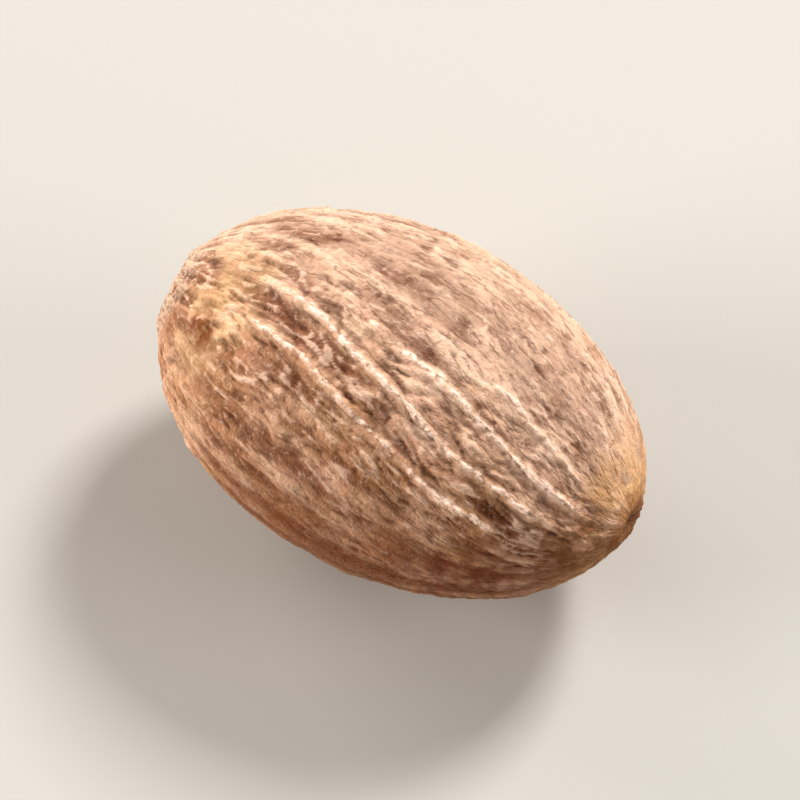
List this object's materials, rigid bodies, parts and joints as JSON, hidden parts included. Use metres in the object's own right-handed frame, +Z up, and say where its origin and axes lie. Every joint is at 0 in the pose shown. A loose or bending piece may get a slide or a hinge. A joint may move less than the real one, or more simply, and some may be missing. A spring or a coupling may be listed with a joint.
{
  "type": "whole nutmeg",
  "caption": "Whole dried nutmeg: an egg-shaped woody kernel with wandering raised folds, a round scar at one end and a small pit at the other.",
  "frame": {"origin": "on the supporting surface, under the middle of the nutmeg's bounding box", "axes": "+X along the nutmeg from the attachment scar to the small end pit, +Z up as it lies on its flat spot"},
  "size_m": [0.028, 0.0184, 0.018],
  "materials": {
    "kernel": "matt, dusty, tan-brown dried kernel with paler fold crests"
  },
  "bodies": {
    "root": {"nutmeg": "kernel"}
  },
  "joints": []
}
